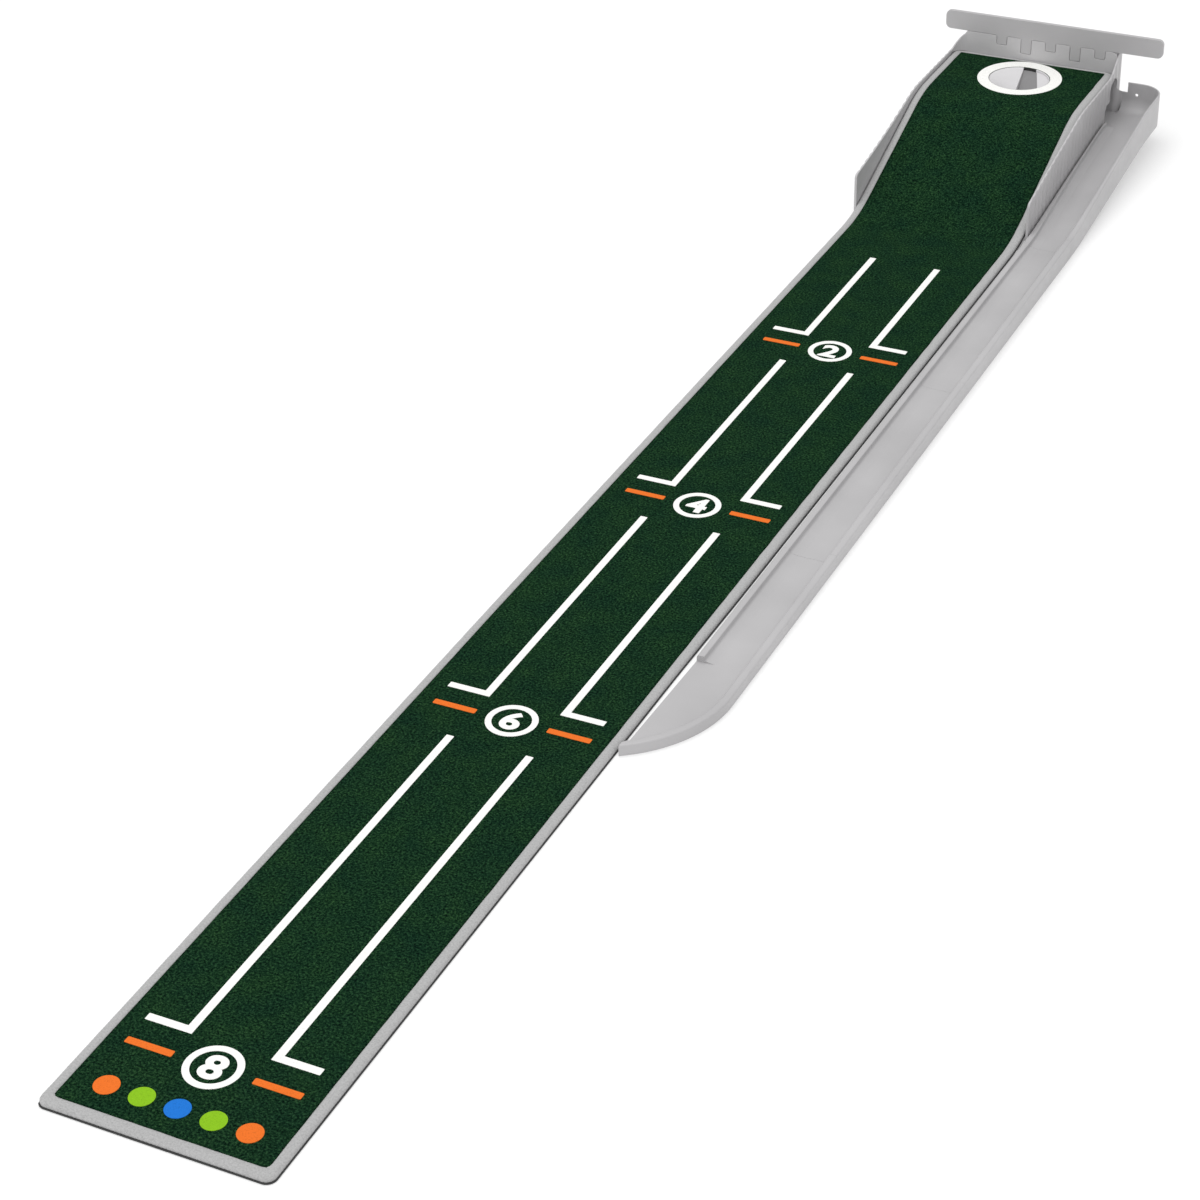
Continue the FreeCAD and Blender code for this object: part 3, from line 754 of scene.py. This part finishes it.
CUP_RADIUS, CUP_RIM, CUP_FOOT = HOLE_RADIUS - 0.8, TURF_TOP - 0.4, 84.0
DOOR_LEFT, DOOR_RIGHT, SLOPE_END = -9.0, 16.0, 9.0    # how far right each lies, on the cup's wall
FAR_TURN = math.acos(DOOR_LEFT / CUP_RADIUS)
NEAR_TURN = 2 * math.pi - math.acos(SLOPE_END / CUP_RADIUS)
DOOR_TURN = math.acos(DOOR_RIGHT / CUP_RADIUS)
SLOPE_STEPS, SLOPE_HOLLOW = 12, 2.2
FLOOR_HIGH, FLOOR_RISE = 104.0, 0.13
FACET_NEAR, FACET_FAR = math.radians(-33.7), math.radians(71.3)
FACET_HIGH, FACET_RISE, FACET_LEAN = 104.4, 0.19, 0.34
FOAM_AND_SHADE_LOW = 111.2


def even_turns(start, end, steps):
    return [start + (end - start) * step / steps for step in range(steps + 1)]


def on_cup(turn, deep=0.0):
    """Where a turn meets the cup's round wall in plan, a depth inside it."""
    return (CUP_RADIUS - deep) * math.cos(turn), HOLE_Y + (CUP_RADIUS - deep) * math.sin(turn)


def make_cup_slope():
    """The raised slope: it falls from the rim to a straight edge across the cup, over a skirt."""
    rim_line = [on_cup(turn) for turn in even_turns(FAR_TURN, NEAR_TURN, 36)]
    edge_far = Vector((*rim_line[0], CUP_RIM - 2.0))
    edge_near = Vector((*rim_line[-1], CUP_RIM - 6.0))
    count = len(rim_line)
    rows = []
    for step in range(SLOPE_STEPS + 1):
        share = step / SLOPE_STEPS
        row = []
        for index, point in enumerate(rim_line):
            on_edge = edge_far.lerp(edge_near, index / (count - 1))
            spot = Vector((*point, CUP_RIM)).lerp(on_edge, share)
            spot.z -= SLOPE_HOLLOW * math.sin(math.pi * share) * math.sin(math.pi * index / (count - 1))
            row.append(tuple(spot))
        rows.append(row)
    verts, faces = loft(rows, closed=False, caps=False)
    base = len(verts)
    verts += [(*point, CUP_FOOT) for point in rim_line] + [(x, y, CUP_FOOT) for x, y, z in rows[-1]]
    for index in range(count - 1):
        edge, low, foot = SLOPE_STEPS * count + index, base + index, base + count + index
        faces.append((index, index + 1, low + 1, low))
        faces.append((edge + 1, edge, foot, foot + 1))
        faces.append((low, low + 1, foot + 1, foot))
    make_piece("cup_slope", (verts, faces), "ramp", CUP_PLASTIC_PAINTED_LIGHT, smooth=30)


def cup_plate(turns, height, thick):
    """A thin plate in the cup, its upper face at height(x, y) with x and y from the hole's middle."""
    outline = [((CUP_RADIUS - 1) * math.cos(turn), (CUP_RADIUS - 1) * math.sin(turn)) for turn in turns]
    return loft([[(x, HOLE_Y + y, height(x, y) - deep) for x, y in outline] for deep in (thick, 0.0)])


def floor_height(x, y):
    return FLOOR_HIGH + y * FLOOR_RISE


def facet_height(x, y):
    corner_x = (CUP_RADIUS - 1) * math.cos(FACET_FAR)
    corner_y = (CUP_RADIUS - 1) * math.sin(FACET_FAR)
    return FACET_HIGH + y * FLOOR_RISE + FACET_RISE * ((x - corner_x) + FACET_LEAN * (y - corner_y))


def make_cup():
    """The cup's lining: a raised slope on the left, a round wall and a facet on the right in
    lighter plastic as painted light, a sloping floor in darker plastic as painted shade, a black strip
    under the far rim that is the mat's foam edge and also painted shade, and the tunnel that leads to the port."""
    make_cup_slope()
    section = (0, CUP_FOOT), (0, CUP_RIM), (0.8, CUP_RIM + 0.2), (1.8, CUP_RIM - 0.4), (1.8, CUP_FOOT)
    wall = [[(*on_cup(turn, deep), z) for deep, z in section]
            for turn in even_turns(DOOR_TURN, NEAR_TURN - 2 * math.pi, 48)]
    make_piece("cup_wall", loft(wall), "ramp", CUP_PLASTIC_PAINTED_LIGHT, smooth=40)
    facet = cup_plate(even_turns(FACET_NEAR, FACET_FAR, 24), facet_height, 3.0)
    make_piece("cup_facet", facet, "ramp", CUP_PLASTIC_PAINTED_LIGHT, smooth=30)
    # A black strip under the far rim, only across the doorway: the mat's foam edge, and painted shade for the
    # shadow there.
    section = (0, FOAM_AND_SHADE_LOW), (0, CUP_RIM - 0.8), (-0.7, CUP_RIM - 0.8), (-0.7, FOAM_AND_SHADE_LOW)
    foam_edge_and_shade = [[(*on_cup(turn, deep), z) for deep, z in section]
              for turn in even_turns(DOOR_TURN, FAR_TURN, 12)]
    make_piece("hole_foam_edge_and_shade", loft(foam_edge_and_shade), "mat", BACKING)
    floor = cup_plate([step * math.pi / 24 for step in range(48)], floor_height, 4.0)
    make_piece("cup_floor", floor, "ramp", CUP_FLOOR_PAINTED_SHADE, smooth=30)
    cheek = rounded([(DOOR_RIGHT + 1.5, 78.0), (DOOR_RIGHT + 1.5, TURF_TOP - 9),
                     (DOOR_RIGHT + 4, TURF_TOP - 9), (DOOR_RIGHT + 4, 78.0)])
    cheeks = [prism([(x - aside, z) for x, z in cheek], upright_y, HOLE_Y + 53, PORT_BACK - 6)
              for aside in (0, 30)]
    legs = rounded([(-62.0, 214.0, 6), (146.0, 214.0, 6), (146.0, 218.0), (-58.0, 218.0),
                    (-58.0, 356.0), (-62.0, 356.0, 3)])
    make_piece("cup_tunnel", joined(*cheeks, prism(legs, flat_z, 34.0, 104.0)), "ramp",
               CHUTE_PLASTIC, replaces=["cup_chute"], smooth=30)


TAB_FIRST, TAB_PITCH, TAB_HALF = -64.0, 46.0, 9.5
TAB_ENDS = (138.5, 127.5, 138.5, 127.5, 138.5)
TAB_ROUND = 3.0


def tabs_down(low):
    """Corners, from left to right, of an edge at height low with the five tabs below it."""
    corners = []
    for index, end in enumerate(TAB_ENDS):
        middle = TAB_FIRST + index * TAB_PITCH
        left, right = middle - TAB_HALF, middle + TAB_HALF
        corners += [(left, low, TAB_ROUND), (left, end, TAB_ROUND),
                    (right, end, TAB_ROUND), (right, low, TAB_ROUND)]
    return corners


REAR_FRONT, REAR_BACK, REAR_REACH, REAR_SKIN = 364.0, 384.0, 151.8, 3.0
BLEND_REACH, BLEND_STEPS = 24.0, 14
NOTCH_GAP, NOTCH_DEEP = 0.4, 7.4
HOLLOW_TOP, FLANGE_REACH, FLANGE_TOP, FLANGE_THICK = 116.0, 162.0, 76.0, 6.0
BACKSTOP_EDGE = 155.3


def make_corner_blend():
    """The curved inside corner where the left wall sweeps up into the rear wall."""
    rings = []
    for share in (step / BLEND_STEPS for step in range(BLEND_STEPS + 1)):
        turn = math.pi - share * math.pi / 2
        high = WALL_LEVEL - 1 + (REAR_TOP - WALL_LEVEL - 3) * (share * share * (3 - 2 * share))
        section = ((0, TURF_TOP + 1.6), (0, high - 1), (0.9, high), (2.4, high),
                   (3.4, high - 1.2), (3.4, TURF_TOP + 1.6))
        rings.append([(-WALL_IN + BLEND_REACH + (BLEND_REACH + out) * math.cos(turn),
                       REAR_FRONT - BLEND_REACH + (BLEND_REACH + out) * math.sin(turn), z)
                      for out, z in section])
    make_piece("corner_blend", loft(rings), "ramp", WALL_PLASTIC_PAINTED_LIGHT, smooth=40)


def make_rear_wall():
    """The hollow wall behind the hole, notched for the backstop's tabs, and a flange beside it."""
    outline = [(-REAR_REACH, 2.0), (REAR_REACH, 2.0), (REAR_REACH, REAR_TOP, 9.0),
               (-131.0, REAR_TOP, 10.0), (-147.0, WALL_LEVEL + 5, 10.0), (-REAR_REACH, WALL_LEVEL)]
    wall = make_piece("rear_panel", prism(rounded(outline), upright_y, REAR_FRONT, REAR_BACK), "ramp",
                      WALL_PLASTIC_PAINTED_LIGHT, replaces=["rear_wall"], bevel=0.9)
    for index, end in enumerate(TAB_ENDS):
        middle = TAB_FIRST + index * TAB_PITCH
        left, right = middle - TAB_HALF - NOTCH_GAP, middle + TAB_HALF + NOTCH_GAP
        notch = rounded([(left, end - NOTCH_GAP, TAB_ROUND), (right, end - NOTCH_GAP, TAB_ROUND),
                         (right, REAR_TOP + 5), (left, REAR_TOP + 5)])
        carve(wall, prism(notch, upright_y, REAR_FRONT - 1, REAR_FRONT + NOTCH_DEEP))
    reach, near, far = REAR_REACH - REAR_SKIN, REAR_FRONT + REAR_SKIN, REAR_BACK - REAR_SKIN
    hollow = (-reach, near), (reach, near), (reach, far), (-reach, far)
    carve(wall, prism(hollow, flat_z, 0.0, HOLLOW_TOP))
    flange = rounded([(WALL_OUT - 2, 2.0), (FLANGE_REACH, 2.0), (FLANGE_REACH, FLANGE_TOP, 7.0),
                      (WALL_OUT - 2, FLANGE_TOP + 3)])
    make_piece("corner_flange", prism(flange, upright_y, REAR_BACK - FLANGE_THICK, REAR_BACK), "ramp",
               WALL_PLASTIC_PAINTED_LIGHT, bevel=0.8)


def make_backstop():
    low, high = span("backstop_bar")
    outline = [(high.x, BACKSTOP_EDGE, 10), (high.x, high.z, 10), (low.x, high.z, 10),
               (low.x, BACKSTOP_EDGE, 10)] + tabs_down(BACKSTOP_EDGE)
    make_piece("backstop", prism(rounded(outline, 6), upright_y, low.y, high.y), "backstop",
               PLASTIC, replaces=["backstop_bar"], bevel=0.9)


# ---------------------------------------------------------------- the return tray and track
TRACK_IN, TRACK_OUT = 158.5, 240.0
TRAY_SEAM, HEAD_START, HEAD_BACK = -160.0, 293.0, 384.0
LOW_FLOOR, HEAD_FLOOR = 6.5, 43.0
LOW_WALL, HEAD_WALL = 32.0, 96.0
HEAD_ROUND = 42.0
RIDGE = 9.0
SECTION = 528.0                               # length of one piece of track
SLOPE_EASE = 0.14                             # share of the slope that bends at each end
RIM_END, REAR_RIM = 172.0, 77.0
HANG_X, HANG_Z, HANG_RADIUS = 189.0, 74.0, 3


def tray_share(y):
    """How far up the tray's slope a place is, from 0 at the seam to 1 at the head."""
    along, ease = limited((y - TRAY_SEAM) / (HEAD_START - TRAY_SEAM)), SLOPE_EASE
    if along < ease:
        return along ** 2 / (2 * ease * (1 - ease))
    if along > 1 - ease:
        return 1 - (1 - along) ** 2 / (2 * ease * (1 - ease))
    return (along - ease / 2) / (1 - ease)


def tray_floor(y):
    return LOW_FLOOR + (HEAD_FLOOR - LOW_FLOOR) * tray_share(y)


def tray_wall(y):
    return LOW_WALL + (HEAD_WALL - LOW_WALL) * tray_share(y)


def outer_path():
    """Points along the tray's outside with their inward normals: up, round the corner, back."""
    path = [((TRACK_OUT, y), (-1.0, 0.0)) for y in steps_between(TRAY_SEAM, HEAD_BACK - HEAD_ROUND, 12)]
    centre = (TRACK_OUT - HEAD_ROUND, HEAD_BACK - HEAD_ROUND)
    for step in range(1, 13):
        turn = step / 12 * math.pi / 2
        spot = (centre[0] + HEAD_ROUND * math.cos(turn), centre[1] + HEAD_ROUND * math.sin(turn))
        path.append((spot, (-math.cos(turn), -math.sin(turn))))
    for x in steps_between(TRACK_OUT - HEAD_ROUND, RIM_END, 6)[1:]:
        path.append(((x, HEAD_BACK), (0.0, -1.0)))
    return path


SKIN, STRIP = 2.5, 32.0


def outer_corners(floor, wall, rim, fillet):
    """The outer wall's corners, as distance in from the outside and height, floor to floor."""
    low = max(0.0, floor - LOW_FLOOR)
    return [(STRIP, floor - SKIN), (SKIN, floor - SKIN), (SKIN, low), (0.0, low),
            (0.0, wall, min(3.0, rim * 0.43)), (rim, wall, min(4.0, rim * 0.43)),
            (rim + 1, floor, fillet), (STRIP, floor)]


def channel_profile(floor, wall, rim, fillet, ridge):
    """One closed section of the channel: outer wall, floor and the ridge beside the mat."""
    low = max(0.0, floor - LOW_FLOOR)
    corners = [(TRACK_OUT - corner[0], *corner[1:]) for corner in outer_corners(floor, wall, rim, fillet)]
    top = floor + RIDGE
    corners += [(TRACK_IN + ridge + 15.5, floor, 13.0), (TRACK_IN + ridge + 2.0, floor + 2.4, 4.0),
                (TRACK_IN + ridge, top, min(1.3, ridge * 0.4)), (TRACK_IN, top, min(3.5, ridge * 0.4)),
                (TRACK_IN, low), (TRACK_IN + SKIN, low), (TRACK_IN + SKIN, floor - SKIN)]
    return rounded(corners, 6)


def tray_section(y):
    """The tray's floor, wall, rim width, fillet and ridge width; rim and ridge narrow uphill."""
    share = tray_share(y)
    rim, ridge = 3.0 + 9.0 * (1 - share) ** 1.5, 3.0 + 7.5 * (1 - share) ** 2
    return tray_floor(y), tray_wall(y), rim, 6.0 + 20.0 * share, ridge


def make_tray():
    """The inclined chute: one swept shell, with a basin at its head that reaches into the port."""
    stations = steps_between(TRAY_SEAM, HEAD_START, 12)
    straight = [[(x, y, z) for x, z in channel_profile(*tray_section(y))] for y in stations]
    verts, faces = loft(straight, caps=False)
    count = len(straight[0])
    faces.append(tuple(range(count)))
    chain = rounded(outer_corners(*tray_section(HEAD_START)[:4]), 6)
    lip = list(range(len(verts) - count + len(chain), len(verts)))
    faces.append(tuple(lip))
    low_chain = rounded(outer_corners(HEAD_FLOOR, REAR_RIM, 3.0, 26.0), 6)
    path = [(spot, normal) for spot, normal in outer_path() if spot[1] > HEAD_START]
    path = [((TRACK_OUT, HEAD_START), (-1.0, 0.0))] + path
    rings = [[(spot[0] + normal[0] * u, spot[1] + normal[1] * u, z) for u, z in chain]
             for spot, normal in path]
    rings += [[(x, HEAD_BACK - u, z) for u, z in low_chain] for x in (RIM_END, 167.0, 162.5)]
    wall = loft(rings, closed=False, caps=False)
    wall[1].append(tuple(range(len(wall[0]) - len(chain), len(wall[0]))))
    foot = verts[lip[0]]
    border = [ring[-1] for ring in rings]
    border += [(TRACK_IN, border[-1][1], HEAD_FLOOR), (TRACK_IN, HEAD_START, HEAD_FLOOR), foot]
    under = [(x, y, HEAD_FLOOR - SKIN) for x, y, z in border[:-1]] + [verts[lip[-1]]]
    sides = len(border)
    floor = border + under, [tuple(range(sides)), tuple(range(2 * sides - 1, sides - 1, -1))]
    for index in range(len(rings) - 1, sides - 1):
        floor[1].append((index, index + 1, sides + index + 1, sides + index))
    low = HEAD_FLOOR - 2
    neck = ((163.0, 380.8, 77.5), (160.5, 376.5, 80.0), (157.6, 369.5, 84.0),
            (154.5, 364.6, 90.0), (149.0, 362.6, 98.0), (120.0, 362.0, 104.0))
    neck_rings = [[(x, y, low), (x, y, high), (x - 1.4, y + 1.2, high), (x - 1.4, y + 1.2, low)]
                  for x, y, high in neck]
    tongue_high = HEAD_FLOOR + 16.0
    tongue = [(20.0, tongue_high - 3), (TRACK_IN + 1, HEAD_FLOOR - 3), (TRACK_IN + 1, HEAD_FLOOR - 0.1),
              (20.0, tongue_high)]
    gap = [(TRACK_IN, 351.0), (164.0, 351.0), (164.0, 382.0), (TRACK_IN - 1, 372.0)]
    shape = joined((verts, faces), wall, floor, loft(neck_rings), prism(tongue, upright_y, 299.0, 362.0),
                   prism(gap, flat_z, HEAD_FLOOR - SKIN, HEAD_FLOOR - 0.05))
    tray = make_piece("tray", shape, "tray", PLASTIC, replaces=["return_tray"], smooth=38)
    hole = [(HANG_X + HANG_RADIUS * math.cos(turn), HANG_Z + HANG_RADIUS * math.sin(turn))
            for turn in (math.pi * step / 12 for step in range(24))]
    carve(tray, prism(hole, upright_y, HEAD_BACK - 6, HEAD_BACK + 3))
    tray.data.set_sharp_from_angle(angle=math.radians(38))


def track_sizes(y):
    along = (TRAY_SEAM - y) / SECTION
    return LOW_FLOOR - along, LOW_WALL - 6.5 * along


SCOOP_TOP, SCOOP_LEFT, SCOOP_TURN, SCOOP_TIP = -1509.0, 153.0, -1681.0, -1737.6
SCOOP_ROUND, SCOOP_RIM = 185.0, 26


def scoop_path():
    """The scoop's outside: straight on from the rail, then round to the tip beside the mat."""
    outline = rounded([(TRACK_OUT, SCOOP_TOP), (TRACK_OUT, SCOOP_TURN, SCOOP_ROUND),
                       (SCOOP_LEFT, SCOOP_TIP)], 24)
    between = [outline[0].lerp(outline[1], share) for share in (0.33, 0.66)]
    points = outline[:1] + between + outline[1:]
    path = []
    for index, spot in enumerate(points):
        before, after = points[max(0, index - 1)], points[min(len(points) - 1, index + 1)]
        along = (after - before).normalized()
        path.append((spot, Vector((along.y, -along.x))))
    return path


def scoop_left(y):
    """The scoop floor's slanting left edge, which leaves a sliver of ground beside the mat."""
    start = SCOOP_TOP - 6
    return TRACK_IN + (SCOOP_LEFT - TRACK_IN) * limited((start - y) / (start - SCOOP_TIP))


def make_scoop():
    """The shovel at the track's end: a rim swept round its outside and a flat floor plate."""
    floor, wall = track_sizes(SCOOP_TOP)
    section = rounded([(0, 0), (0, wall, 3.0), (12, wall, 4.0), (13, floor, 6.0), (SCOOP_RIM, floor),
                       (SCOOP_RIM, floor - SKIN), (SKIN, floor - SKIN), (SKIN, 0)], 6)
    rings, edge = [], []
    for spot, inward in scoop_path():
        ring = [(spot.x + inward.x * u, spot.y + inward.y * u, z) for u, z in section]
        rings.append([(max(x, scoop_left(y)), y, z) for x, y, z in ring])
        edge.append((spot.x + inward.x * SCOOP_RIM, spot.y + inward.y * SCOOP_RIM, floor))
    dish = [point for point in edge if point[0] > scoop_left(point[1]) + 1]
    tip = dish[-1][1] - 4
    dish += [(scoop_left(tip), tip, floor), (TRACK_IN, SCOOP_TOP - 6, floor),
             (TRACK_IN, SCOOP_TOP, floor)]
    plate = loft([[(x, y, z - SKIN) for x, y, z in dish], dish])
    return joined(loft(rings), plate)


def make_track():
    for index, name in enumerate(("upper_track", "middle_track", "end_track")):
        start = TRAY_SEAM - 0.3 - index * SECTION
        end = SCOOP_TOP if index == 2 else TRAY_SEAM - (index + 1) * SECTION
        rings = [[(x, y, z) for x, z in channel_profile(*track_sizes(y), 12.0, 6.0, 10.5)]
                 for y in steps_between(end, start, 60)]
        shape = loft(rings)
        if index == 2:
            shape = joined(shape, make_scoop())
        body = ("track_upper", "track_middle", "track_end")[index]
        make_piece(name + "_shell", shape, body, PLASTIC, replaces=[name], smooth=38)


# ---------------------------------------------------------------- everything in place
turf = make_turf()
band = make_binding()
make_print()
make_ramp()
make_tray()
make_track()
for node, material in {
    "mat_backing": BACKING, "ramp_deck": PLASTIC, "hook_strips": TAPE, "deck_ribs": PLASTIC, "base_pan": PLASTIC,
    "deck_screws": STEEL, "rubber_feet": RUBBER, "ball_guide": PLASTIC,
}.items():
    finish_node(node, material)


# ---------------------------------------------------------------- floor, light and camera
def make_floor():
    mesh = bpy.data.meshes.new("floor")
    reach = 60.0
    corners = (-reach, -reach, 0), (reach, -reach, 0), (reach, reach, 0), (-reach, reach, 0)
    mesh.from_pydata(corners, [], [(0, 1, 2, 3)])
    floor = bpy.data.objects.new("floor", mesh)
    floor.location.z = -0.0005
    bpy.context.scene.collection.objects.link(floor)
    made, shader = new_material("floor_white", (0.66, 0.66, 0.66), 0.9)
    shader.inputs["Emission Color"].default_value = (1, 1, 1, 1)
    shader.inputs["Emission Strength"].default_value = 0.34
    shader.inputs["Specular IOR Level"].default_value = 0.05
    mesh.materials.append(made)


def area_light(name, at, towards, size, power):
    light = bpy.data.lights.new(name, "AREA")
    light.shape = "DISK"
    light.size = size
    light.energy = power
    lamp = bpy.data.objects.new(name, light)
    lamp.location = at
    lamp.rotation_mode = "QUATERNION"
    lamp.rotation_quaternion = (Vector(towards) - Vector(at)).to_track_quat("-Z", "Y")
    bpy.context.scene.collection.objects.link(lamp)


def light_studio():
    """A pale room, brighter above and slightly brighter in front and on the right, with a
    large soft light overhead and a weaker one in front."""
    world = bpy.data.worlds.new("studio")
    world.use_nodes = True
    nodes, links = world.node_tree.nodes, world.node_tree.links
    where, split = nodes.new("ShaderNodeTexCoord"), nodes.new("ShaderNodeSeparateXYZ")
    level = nodes.new("ShaderNodeValue")
    level.outputs["Value"].default_value = 0.66
    for axis, share in (("Z", 0.26), ("X", 0.06), ("Y", -0.06)):
        part = nodes.new("ShaderNodeMath")
        part.operation = "MULTIPLY_ADD"
        part.inputs[1].default_value = share
        links.new(split.outputs[axis], part.inputs[0])
        links.new(level.outputs["Value"], part.inputs[2])
        level = part
    links.new(where.outputs["Generated"], split.inputs["Vector"])
    links.new(level.outputs["Value"], nodes["Background"].inputs["Strength"])
    nodes["Background"].inputs["Color"].default_value = (1, 1, 1, 1)
    bpy.context.scene.world = world
    area_light("key", (-0.9, 0.5, 4.4), (0, 0.3, 0), 3.2, 62)
    area_light("fill", (-0.4, -3.6, 2.4), (0, 0.3, 0), 3.0, 26)


def make_camera():
    """Placed by its spot, the way it looks and a slight roll."""
    at = Vector((1.358, -3.192, 2.051))
    look = Vector((-0.371, 0.755, -0.540)).normalized()
    data = bpy.data.cameras.new("camera")
    data.sensor_width = 36.0
    data.lens = 83.79
    data.clip_end = 100
    data.shift_x, data.shift_y = -7 / 1200, -2 / 1200
    camera = bpy.data.objects.new("camera", data)
    right = Vector((0.903, 0.429, -0.020))
    right = (right - look * right.dot(look)).normalized()
    up = right.cross(look)
    turn = Matrix((right, up, -look)).transposed()
    camera.matrix_world = Matrix.Translation(at) @ turn.to_4x4()
    bpy.context.scene.collection.objects.link(camera)
    bpy.context.scene.camera = camera


make_floor()
light_studio()
make_camera()
bpy.context.scene.view_settings.view_transform = "Standard"
